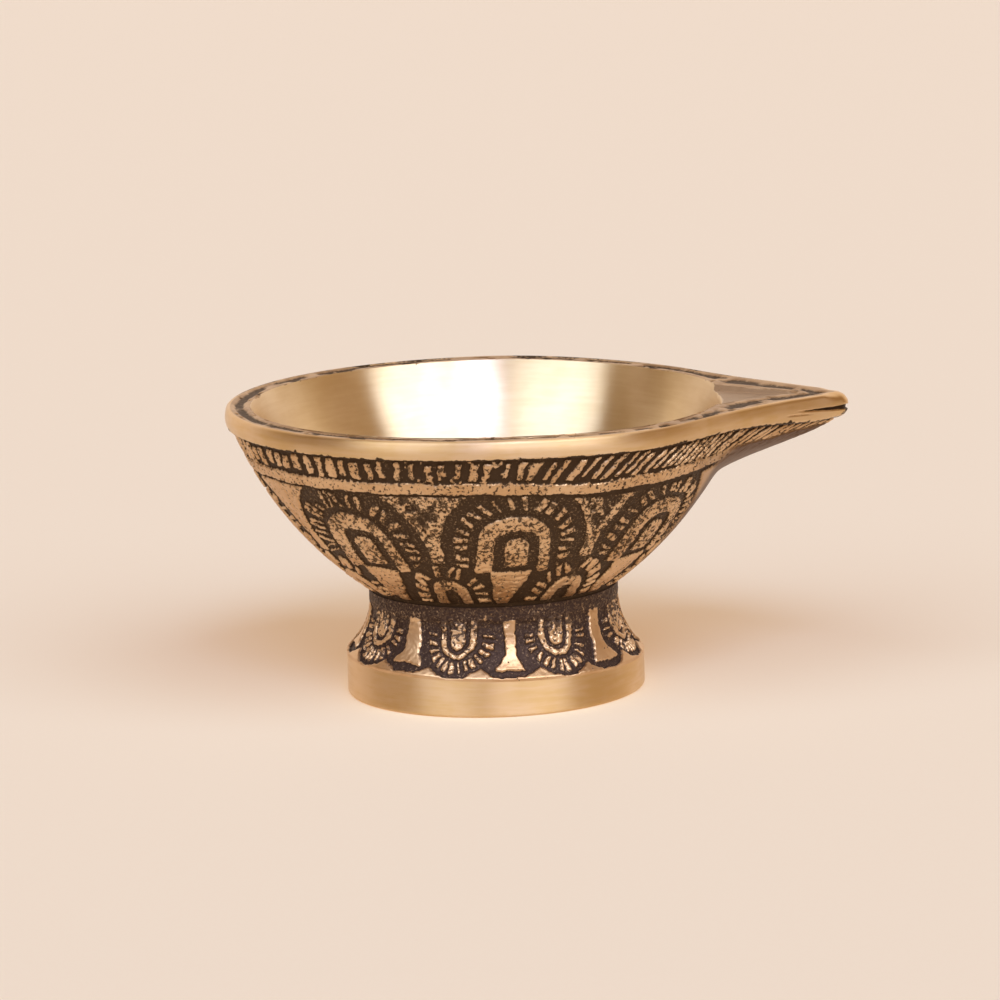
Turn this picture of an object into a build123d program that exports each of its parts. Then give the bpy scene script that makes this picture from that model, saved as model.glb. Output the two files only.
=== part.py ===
from build123d import *
import math
import os

# Small cast brass butter lamp: a spouted bowl that seats on a hollow flared foot and is clamped to it
# by a screw from below. Millimetres, +Z up. The origin is the centre of the foot's resting face and
# +X points to the spout.

# Foot
ring_height = 5.1  # plain turned ring that stands on the table
flare_height = 7.0  # concave flare from the ring up to the collar
collar_height = 1.5  # short straight collar that the bowl sits on
neck_radius = 16.2
foot_flare = 3.1  # how far the ring stands out past the neck
flare_sag = 0.75  # how hollow the flare is, measured from its chord
ring_edge = 0.4  # rounding of the ring's corners
ring_wall = 3.0  # thickness of the ring round the hollow underside
hollow_draft = 2.6  # how far the hollow narrows up to the web
hollow_round = 1.5
web_thickness = 2.4

# Bowl
seat_reveal = 0.25  # the collar shows this much outside the bowl's underside
body_height = 21.9  # from the seat up to the underside of the lip
body_radius = 33.0  # just under the lip
body_bulge = 2.06  # how far the side swells outside its chord
casting_wall = 3.2
floor_thickness = 3.4  # metal above the seat, under the inside floor
floor_round = 5.0
lip_height = 2.5
lip_overhang = 0.7
lip_round = 0.5

# Spout
spout_overhang = 12.6  # how far the spout reaches past the round of the bowl
keel_depth = 9.1  # height in which the keel sweeps out of the bowl's side
spout_sink = 0.3  # the spout's own round lies this far inside the bowl's side
keel_steps = 6  # sections that the spout is lofted through, less one
nose_radius = 1.2  # roundness of the keel and of the tip
flank_radius = 92.0  # hollow curve of the spout's sides, seen from above
tip_wall = 6.3  # metal between the end of the trough and the tip of the lip
trough_nose = 0.8
trough_inset = 4.4  # the round that the trough's sides touch lies this far inside the turned bowl
trough_draft = 30.0  # degrees that the trough's sides lean out
trough_depth = 0.8  # below the rim, where the trough leaves the turned bowl
trough_rise = 0.3  # how much the trough's floor climbs to the tip

# Spigot under the bowl and its socket in the foot
spigot_radius = 11.0
spigot_length = 3.0
fit_clearance = 0.05  # on the radius
spigot_relief = 0.2  # keeps the spigot off the web, so that the bowl sits on the collar alone

# Screw and washer
screw_radius = 2.0
screw_length = 8.0
hole_clearance = 0.15  # round the screw in the web and in the washer
thread_clearance = 0.05  # round the screw in the bowl
hole_end_gap = 0.4  # between the screw's end and the bottom of its hole
head_radius = 3.5
head_height = 2.6
head_round = 0.5
slot_width = 1.2
slot_depth = 1.1
washer_radius = 4.5
washer_thickness = 0.8

# Heights and radii that follow
ring_radius = neck_radius + foot_flare
collar_base = ring_height + flare_height
seat_height = collar_base + collar_height
socket_floor = seat_height - spigot_length - spigot_relief
web_underside = socket_floor - web_thickness
spigot_end = seat_height - spigot_length
inside_floor = seat_height + floor_thickness
lip_underside = seat_height + body_height
rim_height = lip_underside + lip_height
seat_radius = neck_radius - seat_reveal
head_top = web_underside - washer_thickness
screw_end = head_top + screw_length
spout_tip = body_radius + spout_overhang + lip_overhang
trough_end = spout_tip - tip_wall

# The bowl's side is one arc from the seat to the lip, given by its chord and bulge
chord = math.hypot(body_radius - seat_radius, body_height)
arc_radius = (chord**2 / 4 + body_bulge**2) / (2 * body_bulge)
arc_inset = (arc_radius - body_bulge) / chord
arc_centre_r = (seat_radius + body_radius) / 2 - arc_inset * body_height
arc_centre_z = (seat_height + lip_underside) / 2 + arc_inset * (body_radius - seat_radius)


def side_radius(z, inset=0.0):
    """Radius of the bowl's side at a height, or of a surface that lies inset inside it."""
    return arc_centre_r + math.sqrt((arc_radius - inset) ** 2 - (z - arc_centre_z) ** 2)


def keel_reach(z):
    """Distance from the axis to the keel at a height: an S-shaped sweep out of the bowl's side."""
    t = 1 - (lip_underside - z) / keel_depth
    return side_radius(z) - spout_sink / 2 + spout_overhang * t * t * (3 - 2 * t)


def side_arc(low, high, inset=0.0):
    """The stretch of the bowl's side between two heights, drawn in (radius, height)."""
    middle = (low + high) / 2
    return ThreePointArc(*[(side_radius(z, inset), z) for z in (low, middle, high)])


def teardrop(radius, reach, nose):
    """A circle drawn out to a rounded point at +X by two hollow arcs that touch both rounds."""
    nose_centre = Vector(reach - nose, 0)
    to_body, to_nose = radius + flank_radius, nose + flank_radius
    hollow_x = (to_body**2 - to_nose**2 + nose_centre.X**2) / (2 * nose_centre.X)
    hollow_centre = Vector(hollow_x, math.sqrt(to_body**2 - hollow_x**2))
    shoulder = hollow_centre.normalized() * radius
    nose_start = nose_centre + (hollow_centre - nose_centre).normalized() * nose
    halfway = (shoulder + nose_start) / 2
    flank = hollow_centre + (halfway - hollow_centre).normalized() * flank_radius
    back, tip = Vector(-radius, 0), Vector(reach, 0)
    side = (shoulder.normalized() + Vector(-1, 0)).normalized() * radius

    def below(p):
        return Vector(p.X, -p.Y)

    outline = [
        ThreePointArc(shoulder, flank, nose_start),
        ThreePointArc(nose_start, tip, below(nose_start)),
        ThreePointArc(below(nose_start), below(flank), below(shoulder)),
        ThreePointArc(below(shoulder), below(side), back),
        ThreePointArc(back, side, shoulder),
    ]
    return make_face(outline)


def bowl_outside():
    """The round body, the spout lofted out of its side through teardrops, and the rolled lip."""
    outline = [
        side_arc(seat_height, lip_underside),
        Polyline(
            (body_radius, lip_underside), (0, lip_underside), (0, seat_height), (seat_radius, seat_height)
        ),
    ]
    body = revolve(Plane.XZ * make_face(outline), Axis.Z)
    heights = [lip_underside - keel_depth * i / keel_steps for i in range(keel_steps + 1)]
    spout = loft(
        [
            Pos(0, 0, z) * teardrop(side_radius(z) - spout_sink, keel_reach(z), nose_radius)
            for z in heights
        ]
    )
    rim_outline = teardrop(body_radius + lip_overhang, spout_tip, nose_radius + lip_overhang)
    lip = extrude(Pos(0, 0, lip_underside) * rim_outline, lip_height)
    lip = fillet(lip.faces().sort_by(Axis.Z)[0].edges(), lip_round)
    lip = fillet(lip.faces().sort_by(Axis.Z)[-1].edges(), lip_round)
    return body + spout + lip


def turned_inside():
    """The lathe-turned hollow: parallel to the side, with a flat floor and a rounded corner."""
    mouth = side_radius(rim_height, casting_wall)
    corner = side_radius(inside_floor, casting_wall)
    outline = [
        side_arc(inside_floor, rim_height, casting_wall),
        Polyline((mouth, rim_height), (0, rim_height), (0, inside_floor), (corner, inside_floor)),
    ]
    profile = make_face(outline)
    floor_corner = profile.vertices().sort_by_distance((corner, inside_floor))[0]
    profile = fillet(floor_corner, floor_round)
    return revolve(Plane.XZ * profile, Axis.Z)


def spout_trough():
    """The shallow channel from the turned bowl to the tip, with leaning sides and a climbing floor."""
    mouth = side_radius(rim_height, casting_wall)
    outline = teardrop(mouth - trough_inset, trough_end, trough_nose)
    channel = extrude(
        Pos(0, 0, rim_height) * outline, -(trough_depth + trough_rise), taper=trough_draft
    )
    slope = trough_rise / (trough_end - mouth)
    above_floor = make_face(
        Polyline(
            (0, rim_height - trough_depth - slope * mouth),
            (trough_end, rim_height - trough_depth + trough_rise),
            (trough_end, rim_height),
            (0, rim_height),
            close=True,
        )
    )
    return channel & extrude(Plane.XZ * above_floor, mouth, both=True)


def bowl():
    """The bowl casting with the spigot and the screw hole under it."""
    spigot = Pos(0, 0, spigot_end) * Cylinder(
        spigot_radius, spigot_length, align=(Align.CENTER, Align.CENTER, Align.MIN)
    )
    screw_hole = Pos(0, 0, spigot_end) * Cylinder(
        screw_radius + thread_clearance,
        screw_end + hole_end_gap - spigot_end,
        align=(Align.CENTER, Align.CENTER, Align.MIN),
    )
    return bowl_outside() - turned_inside() - spout_trough() + spigot - screw_hole


def foot():
    """The foot casting, revolved: ring, hollow flare, collar with its socket, web, hollow underside."""
    chord_mid = Vector((ring_radius - ring_edge + neck_radius) / 2, (ring_height + collar_base) / 2)
    chord_run = Vector(neck_radius - ring_radius + ring_edge, flare_height)
    inward = Vector(-chord_run.Y, chord_run.X).normalized()
    flare_mid = chord_mid + inward * flare_sag
    socket_radius = spigot_radius + fit_clearance
    screw_bore = screw_radius + hole_clearance
    hollow_radius = ring_radius - ring_wall
    hollow_top = hollow_radius - hollow_draft
    outline = [
        Polyline(
            (hollow_radius, 0),
            (ring_radius, 0),
            (ring_radius, ring_height - ring_edge),
            (ring_radius - ring_edge, ring_height),
        ),
        ThreePointArc((ring_radius - ring_edge, ring_height), flare_mid, (neck_radius, collar_base)),
        Polyline(
            (neck_radius, collar_base),
            (neck_radius, seat_height),
            (socket_radius, seat_height),
            (socket_radius, socket_floor),
            (screw_bore, socket_floor),
            (screw_bore, web_underside),
            (hollow_top, web_underside),
            (hollow_radius, 0),
        ),
    ]
    profile = make_face(outline)
    hollow_corner = profile.vertices().sort_by_distance((hollow_top, web_underside))[0]
    profile = fillet(hollow_corner, hollow_round)
    ring_corner = profile.vertices().sort_by_distance((ring_radius, 0))[0]
    profile = fillet(ring_corner, ring_edge)
    return revolve(Plane.XZ * profile, Axis.Z)


def clamp_screw():
    """Slotted cheese-head screw, head down."""
    outline = Polyline(
        (0, head_top - head_height),
        (head_radius, head_top - head_height),
        (head_radius, head_top),
        (screw_radius, head_top),
        (screw_radius, screw_end),
        (0, screw_end),
        close=True,
    )
    profile = make_face(outline)
    head_corner = profile.vertices().sort_by_distance((head_radius, head_top - head_height))[0]
    profile = fillet(head_corner, head_round)
    slot = Pos(0, 0, head_top - head_height) * Box(
        2 * head_radius, slot_width, slot_depth, align=(Align.CENTER, Align.CENTER, Align.MIN)
    )
    return revolve(Plane.XZ * profile, Axis.Z) - slot


def screw_washer():
    """Plain washer between the screw's head and the web."""
    disc = Circle(washer_radius) - Circle(screw_radius + hole_clearance)
    return extrude(Pos(0, 0, head_top) * disc, washer_thickness)


os.makedirs("parts", exist_ok=True)
for piece in (bowl, foot, clamp_screw, screw_washer):
    export_step(piece(), f"parts/{piece.__name__}.step")
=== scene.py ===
import itertools
import math

import bpy
import numpy as np
from mathutils import Matrix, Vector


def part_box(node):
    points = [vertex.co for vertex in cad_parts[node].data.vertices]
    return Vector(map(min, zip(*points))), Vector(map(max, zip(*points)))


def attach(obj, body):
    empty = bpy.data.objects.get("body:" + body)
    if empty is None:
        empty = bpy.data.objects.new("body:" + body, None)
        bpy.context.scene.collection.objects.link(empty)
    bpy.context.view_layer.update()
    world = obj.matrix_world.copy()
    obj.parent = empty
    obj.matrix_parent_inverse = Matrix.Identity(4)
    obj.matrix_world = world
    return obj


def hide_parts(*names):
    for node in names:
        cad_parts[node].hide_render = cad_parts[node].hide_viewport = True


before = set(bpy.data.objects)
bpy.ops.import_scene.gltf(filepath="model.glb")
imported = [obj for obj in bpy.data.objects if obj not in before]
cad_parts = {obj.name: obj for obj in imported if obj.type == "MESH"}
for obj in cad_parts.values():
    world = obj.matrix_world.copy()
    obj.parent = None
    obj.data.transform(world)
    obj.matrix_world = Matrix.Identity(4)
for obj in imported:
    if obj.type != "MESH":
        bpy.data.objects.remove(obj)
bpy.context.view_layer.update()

# Looks of a small cast brass butter lamp: a spouted bowl with carved petals on a carved foot.
# Sizes are millimetres in the frame of the solids, +Z up and +X to the spout. Meshes are metres.
MM = 0.001


def node_box(node):
    """Lowest and highest corner of a solid, in millimetres."""
    return [np.array(corner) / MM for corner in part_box(node)]


bowl_low, bowl_high = node_box("bowl")
foot_high = node_box("foot")[1]

# Bowl
rim_height = bowl_high[2]
spout_tip = bowl_high[0]
lip_radius = -bowl_low[0]
spigot_end = bowl_low[2]
seat_height = foot_high[2]
seat_reveal = 0.25
lip_height = 2.5
lip_overhang = 0.7
lip_round = 0.5
lip_crown = 0.12  # how far the lip's face swells between its rounded edges
body_bulge = 2.06
casting_wall = 3.2
floor_thickness = 3.4
floor_round = 5.0
spigot_radius = 11.0
hole_radius = 2.05
hole_end = 15.6

# Spout
spout_overhang = 12.6
keel_depth = 9.1
spout_sink = 0.3
spout_blend = 0.6  # softens the line where the spout leaves the round body
nose_radius = 1.2
flank_radius = 92.0
tip_wall = 6.3
trough_nose = 0.8
trough_inset = 4.4
trough_draft = 30.0
trough_depth = 0.8
trough_rise = 0.3
tip_drop = 0.85  # how much taller the lip is at the tip
tip_drop_start = 31.0
tip_drop_end = 43.0
tip_round = 0.9  # rounding of the tip, seen from the side
tip_round_length = 3.0
slit_start = 39.3  # a slit in the lip, which opens towards the tip
slit_end = 0.02
slit_half = 0.22
slit_depth = 0.35
crack = (38.4, 41.4)  # a short fine crack under it
crack_height = 0.9
rim_sag = 0.45  # how much lower the rim lies on the spout's side, and the tip besides
rim_sag_end = 24.0
tip_sag = 0.18
tip_sag_start = 36.0
sag_low = 24.0  # height where the sag begins

# Foot
ring_radius = foot_high[0]
ring_height = 5.1
ring_rise = 0.4  # the turned part goes this much higher, and is tilted up by ring_tilt at the back
ring_tilt = 0.55
flare_height = 7.0
foot_flare = 3.1
flare_sag = 0.75
ring_edge = 0.4
ring_wall = 3.0
hollow_draft = 2.6
hollow_round = 1.5
web_thickness = 2.4
spigot_relief = 0.2
socket_radius = 11.05
bore_radius = 2.15

# Heights and radii that follow
neck_radius = ring_radius - foot_flare
collar_base = ring_height + flare_height
seat_radius = neck_radius - seat_reveal
body_radius = lip_radius - lip_overhang
lip_underside = rim_height - lip_height
inside_floor = seat_height + floor_thickness
trough_end = spout_tip - tip_wall
socket_floor = spigot_end - spigot_relief
web_underside = socket_floor - web_thickness
trough_level = rim_height - trough_depth - 0.15  # the round hollow goes on from here

# The bowl's side is one arc, given by its chord and bulge
body_height = lip_underside - seat_height
chord = math.hypot(body_radius - seat_radius, body_height)
arc_radius = (chord**2 / 4 + body_bulge**2) / (2 * body_bulge)
arc_inset = (arc_radius - body_bulge) / chord
arc_centre_r = (seat_radius + body_radius) / 2 - arc_inset * body_height
arc_centre_z = (seat_height + lip_underside) / 2 + arc_inset * (body_radius - seat_radius)
arc_low = math.asin((seat_height - arc_centre_z) / arc_radius)
arc_high = math.asin((lip_underside - arc_centre_z) / arc_radius)
side_stretch = arc_radius * (arc_high - arc_low) / body_height  # length along the side per mm of height

# Fineness of the meshes
row_step = 0.165
spout_half_angle = math.radians(44)
spout_columns = 704
back_columns = 544  # on each side, from the spout round to the back
foot_columns = 1024

# Carving
carve_depth = 0.42
edge_softness = 0.10
petal_count = 8
front_petal = math.radians(-82.3)
petal_pitch = 2 * math.pi / petal_count


def smooth(low, high, x):
    """0 up to low and 1 from high on, with a soft step between."""
    t = np.clip((x - low) / (high - low), 0, 1)
    return t * t * (3 - 2 * t)


def inside(distance, softness=edge_softness):
    """1 where a signed distance is negative and 0 where it is positive, with a soft edge."""
    return 1 - smooth(-softness, softness, distance)


def between(low, high, x, softness=edge_softness):
    """1 where x lies between two bounds, with soft edges."""
    return inside(low - x, softness) * inside(x - high, softness)


def soft_max(a, b, width):
    """The larger of two values, rounded over where they are nearly equal."""
    overlap = np.maximum(width - np.abs(a - b), 0) / width
    return np.maximum(a, b) + overlap**2 * width / 4


def wrap(angle):
    """An angle brought into -pi to pi."""
    return (angle + math.pi) % (2 * math.pi) - math.pi


def noise(points, cell, seed):
    """Smooth random values from -1 to 1 at points, from a seeded lattice with cells of that size."""
    size = 32
    table = np.random.default_rng(seed).uniform(-1, 1, (size, size, size))
    scaled = points / cell
    corner = np.floor(scaled).astype(int)
    part = scaled - corner
    part = part * part * (3 - 2 * part)
    total = np.zeros(points.shape[:-1])
    for step in itertools.product((0, 1), repeat=3):
        weight = np.prod(np.where(step, part, 1 - part), axis=-1)
        place = (corner + step) % size
        total += weight * table[place[..., 0], place[..., 1], place[..., 2]]
    return total


def rough(points, cell, seed):
    """Noise of three octaves, from about -1 to 1."""
    octaves = [noise(points, cell / 2**i, seed + i) / 2**i for i in range(3)]
    return sum(octaves) / 1.4


def polar(theta, rho, z):
    """Points at a polar angle, a distance from the axis and a height."""
    theta, rho, z = np.broadcast_arrays(theta, rho, z)
    return np.stack([rho * np.cos(theta), rho * np.sin(theta), z], axis=-1)


# Surfaces of the bowl


def side_radius(z, inset=0.0):
    """Radius of the bowl's side at a height, or of a surface that lies inset inside it."""
    return arc_centre_r + np.sqrt((arc_radius - inset) ** 2 - (z - arc_centre_z) ** 2)


def keel_reach(z):
    """Distance from the axis to the keel at a height: an S-shaped sweep out of the bowl's side."""
    sweep = smooth(lip_underside - keel_depth, lip_underside, z)
    return side_radius(z) - spout_sink / 2 + spout_overhang * sweep


def hollow_centre(radius, reach, nose):
    """Centre of the hollow arc that joins a round about the axis to a nose at the tip."""
    nose_x = reach - nose
    to_body, to_nose = radius + flank_radius, nose + flank_radius
    x = (to_body**2 - to_nose**2 + nose_x**2) / (2 * nose_x)
    return x, np.sqrt(to_body**2 - x**2)


def teardrop(theta, radius, reach, nose):
    """Distance from the axis to a circle that two hollow arcs draw out to a rounded point at angle 0."""
    nose_x = reach - nose
    hollow_x, hollow_y = hollow_centre(radius, reach, nose)
    part = nose / (nose + flank_radius)
    nose_end = np.arctan2(hollow_y * part, nose_x + (hollow_x - nose_x) * part)
    turn = np.abs(theta)
    toward = hollow_x * np.cos(turn) + hollow_y * np.sin(turn)
    flank = toward - np.sqrt(np.maximum(toward**2 - (radius + flank_radius) ** 2 + flank_radius**2, 0))
    tip = nose_x * np.cos(turn) + np.sqrt(np.maximum(nose**2 - (nose_x * np.sin(turn)) ** 2, 0))
    side = np.where(turn < np.arctan2(hollow_y, hollow_x), flank, radius)
    return np.where(turn < nose_end, tip, side)


def outside_point(theta, z):
    """The bowl's outside before carving: the round body with the spout drawn out of it."""
    body = side_radius(z)
    spout = teardrop(theta, body - spout_sink, keel_reach(z), nose_radius)
    return polar(theta, soft_max(body, spout, spout_blend), z)


def lip_rho(theta, inset):
    """The lip's outline, or a line that lies inset inside it."""
    return teardrop(theta, lip_radius - inset, spout_tip - inset, nose_radius + lip_overhang - inset)


def lip_low(theta):
    """Height of the lip's lower edge, which drops towards the tip."""
    x = lip_rho(theta, 0.0) * np.cos(theta)
    return lip_underside - tip_drop * smooth(tip_drop_start, tip_drop_end, x)


def tip_inset(theta):
    """How far the top and bottom of the lip's face draw back at the rounded tip."""
    x = lip_rho(theta, 0.0) * np.cos(theta)
    return tip_round * smooth(spout_tip - tip_round_length, spout_tip, x)


def sagged(points):
    """The bowl's points with the rim let down a little on the spout's side."""
    x, z = points[:, 0], points[:, 2]
    sag = rim_sag * smooth(0, rim_sag_end, x) + tip_sag * smooth(tip_sag_start, spout_tip, x)
    return np.column_stack([points[:, :2], z - sag * smooth(sag_low, lip_underside, z)])


def surface_normal(surface, theta, z):
    """Outward unit normals of a surface given by polar angle and height."""
    step_theta, step_z = 0.0005, 0.02
    across = surface(theta + step_theta, z) - surface(theta - step_theta, z)
    along = surface(theta, z + step_z) - surface(theta, z - step_z)
    normal = np.cross(across, along)
    return normal / np.linalg.norm(normal, axis=-1, keepdims=True)


# Carving of the bowl
petal_mid = 23.0  # height where a petal is widest
petal_outline = (9.4, 31.8)  # half-width and top of each arch of a petal, from the outside in
tick_outer = (7.8, 30.15)
tick_inner = (6.0, 28.35)
petal_arch = (4.7, 27.35)
door_groove = (2.85, 25.35)
door_panel = (1.46, 24.15)
arch_power = 2.5
door_shift = 0.35  # the door stands a little off the middle
door_foot = 20.15
arch_foot = 19.2
apron_top = 19.3  # plain wedge under the door
apron_low = 14.0
apron_top_half = 2.7
apron_low_half = 0.8
apron_drift = -1.0
tick_leans = (0.03, 0.02)  # how the legs of a petal's outer and inner arches lean in
petal_ticks = (7.0, 1.52, 0.56)  # radius, pitch and width of the strokes
long_tick_outer = (8.5, 30.9)  # finer strokes, on the far halves of the petals beside the front one
long_tick_inner = (5.7, 28.2)
long_ticks = (7.0, 1.2, 0.32)

bud_mid = 15.2  # small arches between the petals, at the bottom
bud_core = (1.0, 16.4)
bud_arch = (2.3, 17.8)
bud_groove = (3.1, 18.6)
bud_tick_outer = (4.7, 20.3)
bud_outline = (5.1, 20.8)
bud_ticks = (3.9, 1.25, 0.5)

groove_high = 30.8  # top of the dark line over the petals
groove_thin = 0.4  # its height at the back, and along the spout
groove_thick = 0.9
field_border = 0.7  # bright margin of the mottled fields between the petals
bright_field = 136.0  # degrees: the fields from here to the back are worn bright
edge_line = 2.2  # degrees: dark line at the end of the petals, beside the plain part under the spout
band_high = 32.2  # plain band, and over it the rope band up to the lip
plain_turn = 20.0  # the petals end this many degrees from the spout, at this height
plain_height = 24.8
plain_lean = 1.65  # degrees for each millimetre of height
keel_turn = 19.0  # no bands on the keel, below the rope
spout_edge = 31.0  # the spout's underside is brown from here on, across
plain_bright = 0.9
keel_brown = 1.0  # how brown the metal is under the rope of the spout, and lower down
plain_brown = 0.3
petal_pits = (0.25, 0.35)  # pitting of a petal, and what its upper part has besides
field_pits = 0.72

# By degrees from the spout: how much lower both bands lie, and the rope bars' pitch, slant and width
band_dip = (
    (0, 5, 8, 14, 22, 36, 52, 63, 75, 90),
    (-1.6, -1.25, -0.7, -0.6, -0.1, 0.2, 0.45, 0.7, 0.4, 0.0),
)
rope_pitch = ((0, 25, 40, 55, 70, 85, 180), (1.4, 1.4, 1.45, 1.6, 1.85, 1.95, 1.95))
rope_slant = (
    (0, 20, 40, 52, 62, 75, 85, 100, 180),
    (0.8, 0.85, 0.9, 0.65, 0.44, 0.3, 0.15, 0.05, 0),
)
rope_width = ((0, 45, 70, 85, 180), (0.35, 0.36, 0.42, 0.49, 0.46))
rope_worn = (95, 18)  # degrees: where the bars are worn away, and how far to each side
bar_count = 211  # bars and strokes with a random place and size of their own


def round_distance(across, along, half, tall, power, lean=0.0):
    """Distance outside an arch: round where along is positive, with legs below that lean in."""
    rise = np.maximum(along, 0)
    angle = np.arctan2(rise, np.abs(across))
    edge = ((np.cos(angle) / half) ** power + (np.sin(angle) / tall) ** power) ** (-1 / power)
    under = np.abs(across) - half * (1 + lean * along)
    return np.where(along > 0, np.hypot(across, rise) - edge, under)


def arch_distance(across, along, arch, mid, lean=0.0):
    """Distance outside an arch on the bowl's side, given by its half-width and top."""
    half, top = arch
    return round_distance(across, along, half, (top - mid) * side_stretch, arch_power, lean)


def arch_band(across, along, outer, inner, mid, leans=(0.0, 0.0)):
    """1 between two arches, with soft edges."""
    within = inside(arch_distance(across, along, outer, mid, leans[0]))
    return within * (1 - inside(arch_distance(across, along, inner, mid, leans[1])))


def ticks(run, offset, pitch, width, number, seed):
    """Raised bars across a band, from the ways along and across it and the band's own number."""
    random = np.random.default_rng(seed)
    shift = random.uniform(-0.16, 0.16, bar_count) * pitch
    size = random.uniform(0.65, 1.45, bar_count) * width
    skew = random.uniform(-0.35, 0.35, bar_count)
    index = np.floor(run / pitch).astype(int)
    pick = (index + 37 * np.asarray(number).astype(int)) % bar_count
    middle = (index + 0.5) * pitch + shift[pick] + skew[pick] * offset
    return inside(np.abs(run - middle) - size[pick] / 2)


def arch_ticks(across, along, sizes, number, seed):
    """Bars that radiate across an arch and go on down its legs."""
    radius, pitch, width = sizes
    rise, leg = np.maximum(along, 0), np.minimum(along, 0)
    run = np.arctan2(rise, across) * radius - np.where(across > 0, -leg, leg)
    return ticks(run + 40 * pitch, np.hypot(across, rise) - radius, pitch, width, number, seed)


def petal_place(theta, radius, gap=0):
    """Number of the nearest petal, or with 1 of the gap after it, and the way across from its middle."""
    turn = (theta - front_petal) / petal_pitch
    number = np.floor(turn) if gap else np.round(turn)
    return number, radius * wrap(theta - front_petal - (number + gap / 2) * petal_pitch)


def petal_relief(across, z, number):
    """Raised parts of one petal, from 0 to 1, and the distance outside the petal."""
    along = (z - petal_mid) * side_stretch
    outside = arch_distance(across, along, petal_outline, petal_mid, tick_leans[0])
    band = arch_band(across, along, tick_outer, tick_inner, petal_mid, tick_leans)
    raised = band * arch_ticks(across, along, petal_ticks, number, 40)
    band = arch_band(across, along, long_tick_outer, long_tick_inner, petal_mid, tick_leans)
    strokes = band * arch_ticks(across, along, long_ticks, number, 41)
    raised = np.where((np.abs(number) == 1) & (across * number > 0), strokes, raised)
    arch = inside(arch_distance(across, along, petal_arch, petal_mid))
    door = across - door_shift
    groove = inside(arch_distance(door, along, door_groove, petal_mid))
    raised = raised + arch * (1 - groove) * inside(arch_foot - z)
    panel = inside(arch_distance(door, along, door_panel, petal_mid))
    raised = raised + panel * inside(door_foot - z)
    down = (apron_top - z) / (apron_top - apron_low)
    apron_half = apron_top_half + (apron_low_half - apron_top_half) * down
    apron = inside(np.abs(across - apron_drift * down) - apron_half) * inside(z - apron_top)
    return np.clip(raised + apron, 0, 1), outside


def bud_relief(across, z, number):
    """Raised parts of one small arch between two petals, and where it lies."""
    along = (z - bud_mid) * side_stretch
    band = arch_band(across, along, bud_tick_outer, bud_groove, bud_mid)
    raised = band * arch_ticks(across, along, bud_ticks, number, 60)
    raised = raised + arch_band(across, along, bud_arch, bud_core, bud_mid)
    return np.clip(raised, 0, 1), inside(arch_distance(across, along, bud_outline, bud_mid))


def rope_phase():
    """Running count of the rope band's bars against polar angle: they crowd together on the spout."""
    theta = np.linspace(-math.pi, math.pi, 4001)
    line = outside_point(theta, np.full_like(theta, lip_underside - 1.5))
    step = np.linalg.norm(np.diff(line, axis=0), axis=-1)
    pitch = np.interp(np.degrees(np.abs(theta[1:])), *rope_pitch)
    return theta, np.concatenate([[0], np.cumsum(step / pitch)])


def rope_relief(theta, level, drop, points):
    """Raised bars of the rope: level is the height over the plain band, drop the way under the lip."""
    turn = np.degrees(np.abs(theta))
    lean = np.interp(turn, *rope_slant) * (1.6 - drop)
    run = np.interp(theta, *rope_phase()) + np.where(theta < 0, -lean, lean)
    run = run + 0.2 * rough(points, 0.9, 17)
    random = np.random.default_rng(5)
    shift = random.uniform(-0.14, 0.14, bar_count)
    size = random.uniform(0.7, 1.35, bar_count) * 0.5
    ends = random.uniform(0.25, 0.9, (2, bar_count))
    index = np.floor(run).astype(int)
    pick = index % bar_count
    half = np.interp(turn, *rope_width) * size[pick]
    bar = inside(np.abs(run - index - 0.5 - shift[pick]) - half, 0.08)
    shorter = 0.25 + 0.75 * smooth(20, 60, turn)
    for end, way in zip(ends, (level, drop)):
        bar = bar * inside(end[pick] * shorter - way, 0.15)
    worn = 0.8 * np.exp(-(((turn - rope_worn[0]) / rope_worn[1]) ** 2))
    kept = 1 - worn * smooth(0.0, 0.4, rough(points, 0.7, 18))
    return np.maximum(bar * kept, worn * smooth(0.15, 0.5, rough(points, 0.8, 19)))


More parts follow.
